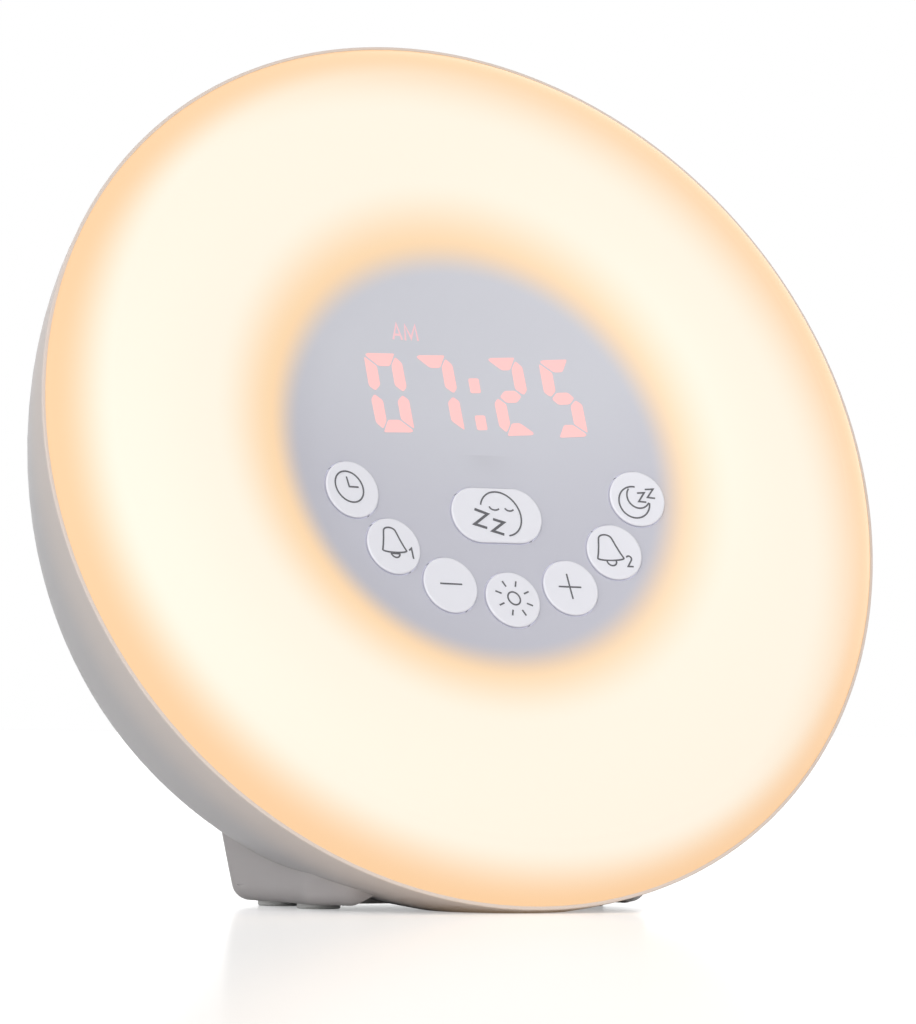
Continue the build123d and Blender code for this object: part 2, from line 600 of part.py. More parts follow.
def reflector_tray():
    """White dish under the glowing ring that the boards and the shroud are fixed to."""
    floor_z = TRAY_Z - TRAY_T
    profile = Polyline(
        (0, floor_z), (TRAY_FLOOR_R, floor_z), (TRAY_EDGE_R, TRAY_EDGE_Z),
        (TRAY_EDGE_R - TRAY_EDGE_T, TRAY_EDGE_Z), (TRAY_FLOOR_R - TRAY_EDGE_T, TRAY_Z), (0, TRAY_Z),
        close=True,
    )
    tray = lathe([profile])
    for x, y in post_places():
        tray += Pos(x, y) * ring(0, TRAY_BOSS_R, POST_END, floor_z)
        tray -= Pos(x, y) * ring(0, SCREW_R + PILOT_SLACK, POST_END - OVER, TRAY_Z - TRAY_BOSS_TOP)
    for x, y in mirrored(STAND_PLACES):
        tray += Pos(x, y) * ring(0, STAND_R, TRAY_Z, MAIN_BOARD_Z - BOARD_T)
        tray -= Pos(x, y) * ring(0, SMALL_SCREW_R + PILOT_SLACK, TRAY_Z, MAIN_BOARD_Z)
    pilot = ring(0, SMALL_SCREW_R + PILOT_SLACK, TRAY_Z - TRAY_T + BOARD_T / 2, TRAY_Z)
    return DISC * (tray - [place * pilot for place in led_screw_places()])


def led_board():
    """Ring-shaped board under the glowing ring."""
    hole = ring(0, SMALL_SCREW_R + SLIP, TRAY_Z, LED_BOARD_TOP)
    board = ring(LED_BOARD_IN, LED_BOARD_OUT, TRAY_Z, LED_BOARD_TOP)
    return DISC * (board - [place * hole for place in led_screw_places()])


def led_emitters():
    """Surface-mounted lamps in a ring."""
    lamp = Pos(LED_R, 0, LED_BOARD_TOP + LED_SIZE[2] / 2) * Box(*LED_SIZE)
    return [DISC * Rot(0, 0, 360 / LED_COUNT * n) * lamp for n in range(LED_COUNT)]


def board_screws():
    """Small screws that hold both boards to the tray, heads to the front."""
    long = Rot(180, 0, 0) * screw(SMALL_SCREW_R, SMALL_HEAD_R, SMALL_HEAD_H, SMALL_SCREW_L)
    short = Rot(180, 0, 0) * screw(SMALL_SCREW_R, SMALL_HEAD_R, SMALL_HEAD_H, LED_SCREW_L)
    screws = [DISC * Pos(x, y, MAIN_BOARD_Z) * long for x, y in mirrored(STAND_PLACES)]
    return screws + [DISC * place * Pos(0, 0, LED_BOARD_TOP) * short for place in led_screw_places()]


def case_screws():
    """Long-well screws that pull the tray and the front onto the housing."""
    one = screw(SCREW_R, SCREW_HEAD_R, SCREW_HEAD_H, TRAY_Z - OVER - WELL_FLOOR)
    return [DISC * Pos(x, y, WELL_FLOOR) * one for x, y in post_places()]


def speaker_screws():
    """Four screws whose wide heads hold the basket's rim down."""
    one = Rot(180, 0, 0) * screw(SMALL_SCREW_R, SPEAKER_HEAD_R, SMALL_HEAD_H, SPEAKER_SCREW_L)
    seated = Pos(0, 0, BACK_INSIDE + SEAT_H) * one
    return [DISC * place * seated for place in speaker_screw_places()]


def speaker_frame():
    """Pressed basket of the loudspeaker."""
    rim_in = SPEAKER_R - BASKET_RIM_W
    profile = Polyline(
        (SPEAKER_R, 0), (SPEAKER_R, BASKET_RIM_T), (rim_in, BASKET_RIM_T),
        (BASKET_FLOOR_R, BASKET_H - BASKET_T), (BASKET_FLOOR_R, BASKET_H),
        (BASKET_HOLE_R, BASKET_H), (BASKET_HOLE_R, BASKET_H - BASKET_T),
        (BASKET_FLOOR_R - BASKET_T, BASKET_H - BASKET_T), (rim_in - BASKET_T, BASKET_RIM_T),
        (rim_in - BASKET_T, 0), close=True,
    )
    return DISC * Pos(0, SPEAKER_Y, BACK_INSIDE) * lathe([profile])


def speaker_cone():
    """Paper cone with its dust cap and voice coil, behind the slots."""
    edge_r = SPEAKER_R - BASKET_RIM_W - BASKET_T - SLIP
    coil_in = COIL_R - COIL_T
    neck_z = CONE_LIFT + CONE_H
    profile = Polyline(
        (edge_r, CONE_LIFT), (edge_r, CONE_LIFT + CONE_T), (COIL_R, neck_z + CONE_T),
        (COIL_R, neck_z + CONE_T + COIL_L), (coil_in, neck_z + CONE_T + COIL_L), (coil_in, neck_z),
        (0, CAP_LIFT + CONE_T), (0, CAP_LIFT), (coil_in, neck_z - CONE_T), close=True,
    )
    return DISC * Pos(0, SPEAKER_Y, BACK_INSIDE) * lathe([profile])


def speaker_magnet():
    """Magnet with its back plate."""
    magnet = ring(0, MAGNET_R, 0, MAGNET_H) + ring(0, MAGNET_PLATE_R, MAGNET_H, MAGNET_H + MAGNET_PLATE_H)
    return DISC * Pos(0, SPEAKER_Y, BACK_INSIDE + BASKET_H) * magnet


def power_board():
    half = POWER_BOARD_W / 2
    start = BACK_INSIDE + SLIP
    return DISC * block(
        (-half, half), (POWER_BOARD_Y, POWER_BOARD_Y + BOARD_T), (start, start + POWER_BOARD_L)
    )


def supply_socket():
    """Metal shell of the supply socket with its tongue, just inside the back."""
    outline = RectangleRounded(SOCKET_W, SOCKET_H, SOCKET_ROUND)
    hollow = RectangleRounded(SOCKET_W - 2 * SOCKET_T, SOCKET_H - 2 * SOCKET_T, SOCKET_ROUND - SOCKET_T)
    socket = extrude(outline, SOCKET_L) - extrude(hollow, SOCKET_L - OVER)
    tongue_l = SOCKET_L - SOCKET_SUNK
    tongue_w = SOCKET_W - 2 * TONGUE_SIDE
    socket += Pos(0, 0, SOCKET_L - tongue_l / 2) * Box(tongue_w, SOCKET_TONGUE_T, tongue_l)
    return DISC * Pos(0, SOCKET_Y, SOCKET_SUNK - BACK_DEPTH) * socket


# ---------------------------------------------------------------- write every piece
write("rear_housing", rear_housing())
write("battery_door", battery_door())
write("battery_contacts", battery_contacts())
write("foot_base", foot_base())
write("foot_pads", Compound(foot_pads()))
write("foot_screws", Compound(foot_screws()))
write("front_diffuser", front_diffuser())
for name, step in KEYS.items():
    write(f"{name}_key", round_key(step))
    write(f"{name}_plunger", plunger(key_centre(step)))
write("snooze_key", snooze_key())
write("snooze_plunger", plunger((0, SNOOZE_Y)))
write("centre_shroud", centre_shroud())
write("seal_ring", seal_ring())
write("main_board", main_board())
write("tact_switches", Compound(tact_switches()))
write("display_module", display_module())
write("display_segments", Compound(display_segments()))
write("reflector_tray", reflector_tray())
write("led_board", led_board())
write("led_emitters", Compound(led_emitters()))
write("board_screws", Compound(board_screws()))
write("case_screws", Compound(case_screws()))
write("speaker_frame", speaker_frame())
write("speaker_cone", speaker_cone())
write("speaker_magnet", speaker_magnet())
write("speaker_screws", Compound(speaker_screws()))
write("power_board", power_board())
write("supply_socket", supply_socket())
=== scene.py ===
"""Sunrise alarm clock: surface finishes, key symbols, lit display and studio."""
import json
from math import cos, pi, radians, sin

import bpy
from bpy.props import FloatProperty, FloatVectorProperty, PointerProperty
from bpy.types import Operator, Panel, PropertyGroup
from mathutils import Matrix, Vector


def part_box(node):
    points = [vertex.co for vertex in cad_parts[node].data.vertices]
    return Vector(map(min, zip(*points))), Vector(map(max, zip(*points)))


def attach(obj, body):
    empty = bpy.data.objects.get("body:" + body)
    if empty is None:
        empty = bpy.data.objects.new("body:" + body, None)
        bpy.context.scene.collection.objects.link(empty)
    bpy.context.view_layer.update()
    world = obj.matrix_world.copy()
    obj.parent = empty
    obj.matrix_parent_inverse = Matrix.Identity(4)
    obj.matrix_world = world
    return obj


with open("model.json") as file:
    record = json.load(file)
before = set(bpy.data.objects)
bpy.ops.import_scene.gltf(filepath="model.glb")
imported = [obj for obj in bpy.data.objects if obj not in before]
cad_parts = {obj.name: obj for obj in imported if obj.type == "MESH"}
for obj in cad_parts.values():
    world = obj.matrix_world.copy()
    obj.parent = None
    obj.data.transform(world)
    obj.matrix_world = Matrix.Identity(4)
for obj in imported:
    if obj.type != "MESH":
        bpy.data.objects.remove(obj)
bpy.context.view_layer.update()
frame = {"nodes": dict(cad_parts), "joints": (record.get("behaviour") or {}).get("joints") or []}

bl_info = {
    "name": "Sunrise alarm clock",
    "version": (1, 0, 0),
    "blender": (4, 5, 0),
    "location": "3D View > Sidebar > Clock",
    "description": "Dresses the clock's parts and sets up a plain studio",
    "category": "Object",
}

MM = 0.001

# ---------------------------------------------------------------- the disc's own frame
# x runs to the right, y up the disc and z out of its front. The keys move straight along z.
KEY_NAMES = ("clock", "alarm_one", "minus", "light", "plus", "alarm_two", "sleep", "snooze")
OUTWARD = -Vector(frame["joints"][0]["axis"])
BOARD_MIDDLE = -7.8 * MM     # middle of the main board, behind the rim
FIELD_HEIGHT = 4.9           # middle of the hollow field above the rim, in millimetres
FIELD_HOLLOW = 300.0         # radius of the field's hollow, in millimetres
OVER_FRONT = 20 * MM         # height above the rim that clears the whole front
PRINT_LIFT = 0.02 * MM       # clearance between a surface and what is laid on it
PAINTED_GAP_GLOW = (0.26, 0.26, 0.3)    # painted glow in the gaps round the keys, where there would be shade
BLACK = (0, 0, 0)


def middle(node):
    """Middle of a CAD node's box."""
    low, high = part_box(node)
    return (low + high) / 2


DISC_CENTRE = middle("main_board") - BOARD_MIDDLE * OUTWARD
DISC_TURN = OUTWARD.angle(Vector((0, 0, 1)))
DISC = Matrix.Translation(DISC_CENTRE) @ Matrix.Rotation(DISC_TURN, 4, "X")


def on_disc(point):
    """A point of the part's frame, in the disc's frame."""
    return DISC.inverted() @ point


def linear(*display):
    """Linear colour of red, green and blue as a display shows them, from 0 to 255."""
    shares = [value / 255 for value in display]
    return [s / 12.92 if s <= 0.04045 else ((s + 0.055) / 1.055) ** 2.4 for s in shares]


# ---------------------------------------------------------------- what a user would change
def colour(name, description, *display):
    """Setting for a colour, given as a display shows it."""
    return FloatVectorProperty(
        name=name, description=description, subtype="COLOR", size=3, min=0, max=1,
        default=linear(*display),
    )


def length(name, description, value_mm):
    """Setting for a length."""
    return FloatProperty(
        name=name, description=description, unit="LENGTH", default=value_mm * MM, min=0, precision=5
    )


def share(name, description, value):
    """Setting from 0 to 1."""
    return FloatProperty(
        name=name, description=description, subtype="FACTOR", default=value, min=0, max=1
    )


class ShellSettings(PropertyGroup):
    """Moulded housing, door and foot."""
    body: colour("Housing", "Grey of the bowl and the door", 189, 187, 188)
    foot: colour("Foot", "Grey of the foot", 175, 171, 171)
    # painted glow: warm light painted on the housing behind the rim, standing in for the ring's light
    painted_glow: colour("Warm edge", "Light that comes through the wall behind the rim", 255, 205, 150)
    grain: length("Grain", "Size of the mould's fine texture", 0.45)
    roughness: share("Roughness", "How dull the moulded surface is", 0.5)


class FrontSettings(PropertyGroup):
    """Opal front: dished field and glowing ring."""
    field: colour("Field", "Unlit field round the display", 206, 207, 215)
    # painted shade: the field is painted darker round the keys, standing in for the shade among them
    field_painted_shade: colour("Lower field", "Unlit field round the keys", 196, 196, 206)
    inner: colour("Inner edge", "Where the glow starts round the field", 252, 216, 171)
    crown: colour("Crown", "Brightest part of the ring", 255, 244, 226)
    outer: colour("Outer edge", "Where the glow ends at the rim", 252, 209, 162)
    glow: share("Glow", "Share of the ring's colour that is its own light", 0.8)


class KeySettings(PropertyGroup):
    """Keys and their symbols."""
    cap: colour("Key", "Colour of the caps", 233, 233, 240)
    ink: colour("Symbols", "Printed symbols", 95, 95, 100)
    stroke: length("Stroke", "Width of a symbol's line", 0.3)
    bold: length("Bold stroke", "Width of the line of the large letters", 0.5)
    ink_height: length("Ink", "Height of the print on the key", 0.04)


class DisplaySettings(PropertyGroup):
    """Figures that shine through the field."""
    figure: colour("Figures", "Colour of the lit figures", 254, 200, 198)
    mark: colour("Morning mark", "Colour of the small letters", 240, 198, 203)
    bar: length("Bar", "Width of a figure's bars", 2.45)
    corner: length("Corner", "Rounding of a bar's corners", 0.45)
    slant: FloatProperty(
        name="Slant", description="Lean of the figures", unit="ROTATION", default=radians(3.0)
    )


class StudioSettings(PropertyGroup):
    """Floor, lights and camera."""
    floor: colour("Floor", "Pale floor", 236, 236, 236)
    world: share("Surroundings", "Even light from all round", 0.36)
    shine: share("Shine", "Share of the floor that mirrors what stands on it", 0.3)
    camera_place: FloatVectorProperty(
        name="Camera", description="Place of the camera", subtype="TRANSLATION", size=3,
        default=(-0.42016, -0.81576, 0.03265),
    )
    camera_heading: FloatProperty(
        name="Heading", description="Turn of the camera to the right of straight ahead",
        unit="ROTATION", default=radians(27.694),
    )
    camera_rise: FloatProperty(
        name="Rise", description="How far the camera looks up", unit="ROTATION",
        default=radians(2.557),
    )
    camera_roll: FloatProperty(
        name="Roll", description="Lean of the camera", unit="ROTATION", default=radians(0.469)
    )
    lens: FloatProperty(
        name="Lens", description="Focal length for a 36 mm sensor", unit="CAMERA", default=171.74
    )


SETTINGS = {
    "clock_shell": ShellSettings,
    "clock_front": FrontSettings,
    "clock_keys": KeySettings,
    "clock_display": DisplaySettings,
    "clock_studio": StudioSettings,
}


# ---------------------------------------------------------------- node helpers
GRAIN_DEPTH = 0.05 * MM      # depth of a surface's fine texture at full strength
FINE_GRAIN = 0.3 * MM        # size of that texture on the front and the keys
DRIFT_SCALE = 28.0           # patches per metre of the slow variation in tone and gloss


def node(tree, kind, inputs=(), **options):
    """A node with its options set and its inputs given a constant or linked to a socket."""
    made = tree.nodes.new(kind)
    for name, value in options.items():
        setattr(made, name, value)
    for name, value in dict(inputs).items():
        if isinstance(value, bpy.types.NodeSocket):
            tree.links.new(value, made.inputs[name])
        else:
            made.inputs[name].default_value = value
    return made


def calc(tree, operation, *values):
    """Result of one step of arithmetic."""
    made = node(tree, "ShaderNodeMath", enumerate(values), operation=operation)
    return made.outputs[0]


def fade(tree, value, start, end):
    """Smooth step of a value, from 0 at start to 1 at end."""
    inputs = {"Value": value, "From Min": start, "From Max": end}
    made = node(tree, "ShaderNodeMapRange", inputs, interpolation_type="SMOOTHSTEP")
    return made.outputs["Result"]


def mix(tree, factor, first, second):
    """Colour that goes from the first to the second."""
    made = node(tree, "ShaderNodeMix", {"Factor": factor}, data_type="RGBA")
    for name, value in (("A", first), ("B", second)):
        socket = next(s for s in made.inputs if s.name == name and s.type == "RGBA")
        if isinstance(value, bpy.types.NodeSocket):
            tree.links.new(value, socket)
        else:
            socket.default_value = (*value, 1)
    return next(s for s in made.outputs if s.type == "RGBA")


def new_group(name, inputs, outputs):
    """Empty node group with (name, kind, default) inputs and (name, kind) outputs."""
    group = bpy.data.node_groups.new(name, "ShaderNodeTree")
    for title, kind, default in inputs:
        socket = group.interface.new_socket(title, in_out="INPUT", socket_type=kind)
        socket.default_value = default
    for title, kind in outputs:
        group.interface.new_socket(title, in_out="OUTPUT", socket_type=kind)
    return group, group.nodes.new("NodeGroupInput").outputs, group.nodes.new("NodeGroupOutput").inputs


def disc_place_group():
    """Distance from a point of the disc, and height above its rim, both in millimetres."""
    existing = bpy.data.node_groups.get("disc_place")
    if existing:
        return existing
    number = "NodeSocketFloat"
    group, given, result = new_group(
        "disc_place",
        [("Right", number, 0.0), ("Up", number, 0.0)],
        [("Radius", number), ("Height", number)],
    )
    place = node(group, "ShaderNodeTexCoord").outputs["Object"]
    turned = node(
        group, "ShaderNodeMapping",
        {"Vector": place, "Location": DISC_CENTRE, "Rotation": (DISC_TURN, 0, 0), "Scale": (MM,) * 3},
        vector_type="TEXTURE",
    )
    axes = node(group, "ShaderNodeSeparateXYZ", {"Vector": turned.outputs[0]}).outputs
    right = calc(group, "SUBTRACT", axes["X"], given["Right"])
    up = calc(group, "SUBTRACT", axes["Y"], given["Up"])
    squared = calc(group, "ADD", calc(group, "MULTIPLY", right, right), calc(group, "MULTIPLY", up, up))
    group.links.new(calc(group, "SQRT", squared), result["Radius"])
    group.links.new(axes["Z"], result["Height"])
    return group


def disc_place(tree, right=0.0, up=0.0):
    """Distance from a point of the disc, and height, as a material's own sockets."""
    made = tree.nodes.new("ShaderNodeGroup")
    made.node_tree = disc_place_group()
    made.inputs["Right"].default_value = right
    made.inputs["Up"].default_value = up
    return made.outputs


def surface_group():
    """Fine texture, slow variation of tone and of gloss that any made surface has."""
    existing = bpy.data.node_groups.get("made_surface")
    if existing:
        return existing
    number, tint = "NodeSocketFloat", "NodeSocketColor"
    group, given, result = new_group(
        "made_surface",
        [
            ("Colour", tint, (1, 1, 1, 1)), ("Variation", number, 0.04), ("Grain", number, 0.0005),
            ("Roughness", number, 0.45), ("Unevenness", number, 0.06),
        ],
        [("Colour", tint), ("Roughness", number), ("Height", number)],
    )
    place = node(group, "ShaderNodeTexCoord").outputs["Object"]
    fine_scale = calc(group, "DIVIDE", 1.0, given["Grain"])
    fine = node(group, "ShaderNodeTexNoise", {"Vector": place, "Scale": fine_scale, "Detail": 3.0})
    slow = node(group, "ShaderNodeTexNoise", {"Vector": place, "Scale": DRIFT_SCALE, "Detail": 4.0})
    drift = calc(group, "SUBTRACT", slow.outputs["Fac"], 0.5)
    tone = calc(group, "MULTIPLY_ADD", drift, given["Variation"], 1.0)
    shade = node(group, "ShaderNodeHueSaturation", {"Color": given["Colour"], "Value": tone})
    gloss = calc(group, "MULTIPLY_ADD", drift, given["Unevenness"], given["Roughness"])
    group.links.new(shade.outputs["Color"], result["Colour"])
    group.links.new(gloss, result["Roughness"])
    group.links.new(fine.outputs["Fac"], result["Height"])
    return group


def made_surface(tree, tint, variation=0.04, grain=0.45 * MM, roughness=0.45, unevenness=0.06):
    """The shared surface effect in a material, with that material's values."""
    made = tree.nodes.new("ShaderNodeGroup")
    made.node_tree = surface_group()
    values = {"Variation": variation, "Grain": grain, "Roughness": roughness, "Unevenness": unevenness}
    for name, value in values.items():
        made.inputs[name].default_value = value
    if isinstance(tint, bpy.types.NodeSocket):
        tree.links.new(tint, made.inputs["Colour"])
    else:
        made.inputs["Colour"].default_value = (*tint, 1)
    return made.outputs


def new_material(name):
    """Material with only its principled shader: the material, its tree and that shader."""
    material = bpy.data.materials.new(name)
    material.use_nodes = True
    shader = material.node_tree.nodes["Principled BSDF"]
    return material, material.node_tree, shader


def finish_surface(tree, shader, surface, bump=0.15):
    """Feeds the shared surface effect into a material's shader, its height as fine relief."""
    tree.links.new(surface["Colour"], shader.inputs["Base Color"])
    tree.links.new(surface["Roughness"], shader.inputs["Roughness"])
    values = {"Height": surface["Height"], "Strength": bump, "Distance": GRAIN_DEPTH}
    relief = node(tree, "ShaderNodeBump", values)
    tree.links.new(relief.outputs["Normal"], shader.inputs["Normal"])


def shine(tree, shader, light):
    """Gives a surface some light of its own, in the light's colour and at its level."""
    tree.links.new(light, shader.inputs["Emission Color"])
    shader.inputs["Emission Strength"].default_value = 1.0


def plain_finish(name, tint, metallic=0.0, bump=0.15, **surface_values):
    """Material of one colour with the shared surface effect."""
    material, tree, shader = new_material(name)
    shader.inputs["Metallic"].default_value = metallic
    finish_surface(tree, shader, made_surface(tree, tint, **surface_values), bump)
    return material


def dress(material, *nodes):
    """Gives CAD nodes their material."""
    for name in nodes:
        mesh = frame["nodes"][name].data
        mesh.materials.clear()
        mesh.materials.append(material)


# ---------------------------------------------------------------- modelling helpers
SHARPEST_MITRE = 0.15        # keeps the corner of a sharp stroke from running out
CORNER_STEPS = (0, 0.25, 0.5, 0.75, 1)    # points along a rounded corner


def active(piece):
    """Makes a piece the only one that an operator acts on."""
    bpy.ops.object.select_all(action="DESELECT")
    bpy.context.view_layer.objects.active = piece
    piece.select_set(True)


def settle(piece, name, material, body):
    """Puts a finished piece's place into its mesh, and says what it rides on."""
    active(piece)
    bpy.ops.object.transform_apply(location=True, rotation=True, scale=True)
    piece.name = name
    piece.data.name = name
    piece.data.materials.clear()
    piece.data.materials.append(material)
    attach(piece, body)


def line(*points):
    """Open stroke through some points, in millimetres."""
    return list(points), False


def arc_points(centre, radii, start, end, steps):
    """Points of an ellipse's arc, by its angles in degrees."""
    turns = [radians(start + (end - start) * n / steps) for n in range(steps + 1)]
    return [(centre[0] + radii[0] * cos(t), centre[1] + radii[1] * sin(t)) for t in turns]


def arc(centre, radii, start, end, steps):
    """Open stroke along an ellipse's arc."""
    return arc_points(centre, radii, start, end, steps), False


def ring(centre, radii, steps=40):
    """Closed stroke round an ellipse."""
    return arc_points(centre, radii, 0, 360 - 360 / steps, steps - 1), True


def stroke_edges(stroke, width):
    """Outlines of a stroke of some width: one, or two round a closed stroke."""
    points, closed = stroke
    ends = (points[-1], points[0]) if closed else (None, None)
    offsets = []
    for before, point, after in zip([ends[0], *points], points, [*points[1:], ends[1]]):
        sides = []
        for start, end in ((before, point), (point, after)):
            if start and end:
                sides.append((Vector(end) - Vector(start)).orthogonal().normalized())
        side = sum(sides, Vector((0, 0))) / len(sides)
        offsets.append(side * width / 2 / max(side.length_squared, SHARPEST_MITRE))
    left = [Vector(point) + offset for point, offset in zip(points, offsets)]
    right = [Vector(point) - offset for point, offset in zip(points, offsets)]
    return [left, right] if closed else [left + right[::-1]]


def softened(outline, reach):
    """Outline with its corners rounded, from a reach before each corner to a reach after it."""
    corners = [Vector(point) for point in outline]
    soft = []
    for before, corner, after in zip(corners[-1:] + corners[:-1], corners, corners[1:] + corners[:1]):
        start, end = [corner + (other - corner).normalized() * reach for other in (before, after)]
        for step in CORNER_STEPS:
            soft.append(start.lerp(corner, step).lerp(corner.lerp(end, step), step))
    return soft


def flat_shapes(outlines):
    """Flat mesh of filled outlines, in millimetres, on the XY plane."""
    curve = bpy.data.curves.new("shapes", "CURVE")
    curve.dimensions = "2D"
    curve.fill_mode = "BOTH"
    for points in outlines:
        edge = curve.splines.new("POLY")
        edge.points.add(len(points) - 1)
        edge.use_cyclic_u = True
        for spot, (x, y) in zip(edge.points, points):
            spot.co = (x * MM, y * MM, 0, 1)
    piece = bpy.data.objects.new("shapes", curve)
    bpy.context.scene.collection.objects.link(piece)
    active(piece)
    bpy.ops.object.convert(target="MESH")
    return bpy.context.object


def lay_on(piece, place, node_name, thickness):
    """Drops a flat mesh along the disc's axis onto a CAD node and thickens it outwards."""
    piece.matrix_world = place
    bpy.context.view_layer.update()
    active(piece)
    wrap = piece.modifiers.new("lay", "SHRINKWRAP")
    wrap.target = frame["nodes"][node_name]
    wrap.wrap_method = "PROJECT"
    wrap.wrap_mode = "ABOVE_SURFACE"
    wrap.use_project_z = True
    wrap.use_negative_direction = True
    wrap.use_positive_direction = False
    wrap.offset = PRINT_LIFT
    bpy.ops.object.modifier_apply(modifier=wrap.name)
    wall = piece.modifiers.new("thickness", "SOLIDIFY")
    wall.thickness = thickness
    wall.offset = 1
    bpy.ops.object.modifier_apply(modifier=wall.name)


# ---------------------------------------------------------------- shell
# Heights over the rim, in millimetres, between which a warm glow is painted on the housing, standing in
# for the ring's light on the wall and lip.
PAINTED_GLOW_WALL = (-20.0, 0.5)
PAINTED_GLOW_LIP = (-0.9, 0.1)
PAINTED_GLOW_SHARE = 0.1                 # share of the painted glow that each of them adds


def shell_finish(name, tint, settings):
    """Satin moulded plastic with a warm glow painted just behind the rim, standing in for the ring's
    light on the wall and lip.
    """
    material, tree, shader = new_material(name)
    surface = made_surface(
        tree, tint, variation=0.05, grain=settings.grain, roughness=settings.roughness, unevenness=0.08
    )
    finish_surface(tree, shader, surface, bump=0.2)
    height = disc_place(tree)["Height"]
    # painted glow on the wall and on the lip just behind the rim
    wall = calc(tree, "MULTIPLY", fade(tree, height, *PAINTED_GLOW_WALL), PAINTED_GLOW_SHARE)
    painted_glow_amount = calc(tree, "MULTIPLY_ADD", fade(tree, height, *PAINTED_GLOW_LIP), PAINTED_GLOW_SHARE, wall)
    shine(tree, shader, mix(tree, painted_glow_amount, BLACK, settings.painted_glow))
    shader.inputs["Specular IOR Level"].default_value = 0.3
    return material


class CLOCK_OT_shell(Operator):
    """Finish the moulded housing, the battery door and the foot"""
    bl_idname = "clock.shell"
    bl_label = "Shell and foot"

    def execute(self, context):
        settings = context.scene.clock_shell
        dress(shell_finish("housing_moulding", settings.body, settings), "rear_housing", "battery_door")
        dress(shell_finish("foot_moulding", settings.foot, settings), "foot_base")
        return {"FINISHED"}


# ---------------------------------------------------------------- front
# Where the front's colour changes, in millimetres: middle of a ring, and the two radii between
# which it does.
GLOW_START = ((-2.66, -1.61), 36.2, 43.43)
CROWN_START = ((-4.51, -1.21), 39.79, 53.55)
BROW_START = ((-12.19, -9.51), 74.29, 95.09)
RIM_START = ((0.78, -0.18), 75.96, 84.41)
# painted shade: where the field darkens towards the keys
PAINTED_FIELD_SHADE = ((0.0, 60.0), 48.0, 80.0)
KEYS_REACH = ((0.0, 0.0), 44.0, 40.0)
PAINTED_GAP_GLOW_DEPTHS = (-0.02, -0.3)   # heights over the field between which a glow is painted on a key hole's wall


def ring_fade(tree, centre, start, end):
    """Smooth step of the distance from a point of the disc, in millimetres."""
    return fade(tree, disc_place(tree, *centre)["Radius"], start, end)


def over_field(tree):
    """Height over the hollow field's surface, in millimetres."""
    place = disc_place(tree)
    squared = calc(tree, "MULTIPLY", place["Radius"], place["Radius"])
    field = calc(tree, "MULTIPLY_ADD", squared, 0.5 / FIELD_HOLLOW, FIELD_HEIGHT)
    return calc(tree, "SUBTRACT", place["Height"], field)


class CLOCK_OT_front(Operator):
    """Finish the opal front: dull field in the middle, glowing ring round it"""
    bl_idname = "clock.front"
    bl_label = "Opal front"

    def execute(self, context):
        settings = context.scene.clock_front
        material, tree, shader = new_material("opal_front")
        lit = ring_fade(tree, *GLOW_START)
        glow = mix(tree, ring_fade(tree, *CROWN_START), settings.inner, settings.crown)
        rim = ring_fade(tree, *RIM_START)
        brow = ring_fade(tree, *BROW_START)
        glow = mix(tree, rim, mix(tree, brow, glow, settings.outer), settings.outer)
        # painted shade: the field darker round the keys
        field = mix(tree, ring_fade(tree, *PAINTED_FIELD_SHADE), settings.field, settings.field_painted_shade)
        reflected = mix(tree, 1 - settings.glow, BLACK, glow)
        tint = mix(tree, lit, field, reflected)
        surface = made_surface(tree, tint, variation=0.02, grain=FINE_GRAIN, roughness=0.5)
        finish_surface(tree, shader, surface, bump=0.08)
        own_light = mix(tree, calc(tree, "MULTIPLY", lit, settings.glow), BLACK, glow)
        # painted glow on the walls of the key holes, in place of their shade
        below = fade(tree, over_field(tree), *PAINTED_GAP_GLOW_DEPTHS)
        painted_gap_glow_mask = calc(tree, "MULTIPLY", below, ring_fade(tree, *KEYS_REACH))
        shine(tree, shader, mix(tree, painted_gap_glow_mask, own_light, PAINTED_GAP_GLOW))
        dress(material, "front_diffuser")
        return {"FINISHED"}


# ---------------------------------------------------------------- keys
SYMBOL_LEAN = 0.1            # how far a symbol leans to the left, as a share of its height
CAP_PAINTED_SHADE = (0.45, 0.2)       # heights over the field between which a cap's side is painted with shade, as dark as the field
CAP_PAINTED_GLOW = (0.0, -0.3)       # heights over the field between which a glow is painted on a cap, as in the gaps


def leaning(strokes):
    """Strokes that lean to the left, by their height over the key's middle."""
    return [([(x - SYMBOL_LEAN * y, y) for x, y in points], closed) for points, closed in strokes]


def bell(x, y, width, height):
    """Alarm bell by the middle of its lip: flaring sides, a round crown, a bowed lip and a clapper."""
    side = [(-0.5, 0.0), (-0.42, 0.22), (-0.33, 0.52), (-0.27, 0.77)]
    crown = arc_points((0, 0.82), (0.25, 0.18), 165, 15, 10)
    lip = arc_points((0, 0), (0.5, -0.09), 18, 162, 8)
    body = [*side, *crown, *[(-across, up) for across, up in side[::-1]], *lip]
    clapper = arc_points((0, -0.12), (0.18, 0.19), 180, 360, 9)
    strokes = []
    for points, closed in ((body, True), (clapper, False)):
        strokes.append(([(x + width * across, y + height * up) for across, up in points], closed))
    return leaning(strokes)


def lamp():
    """Shining lamp: a disc with eight rays."""
    rays = []
    for n in range(8):
        turn = radians(22.5 + 45 * n)
        rays.append(line(*[(0.2 + r * cos(turn), 0.2 + r * sin(turn)) for r in (2.5, 3.7)]))
    return leaning([ring((0.2, 0.2), (1.22, 1.28)), *rays])


def figure_two():
    """Small 2 beside the second alarm's bell."""
    hook = arc_points((2.55, -1.4), (0.52, 0.55), 150, -30, 8)
    return [*hook, (2.1, -2.95), (3.2, -3.0)], False


def moon():
    """Crescent: an outer arc that turns back into the inner one at the lower tip."""
    outer = arc_points((-0.85, -0.75), (3.05, 3.15), 78, 354, 40)
    inner = arc_points((0.15, 0.4), (2.25, 2.35), -36, -222, 28)
    return outer + inner, False


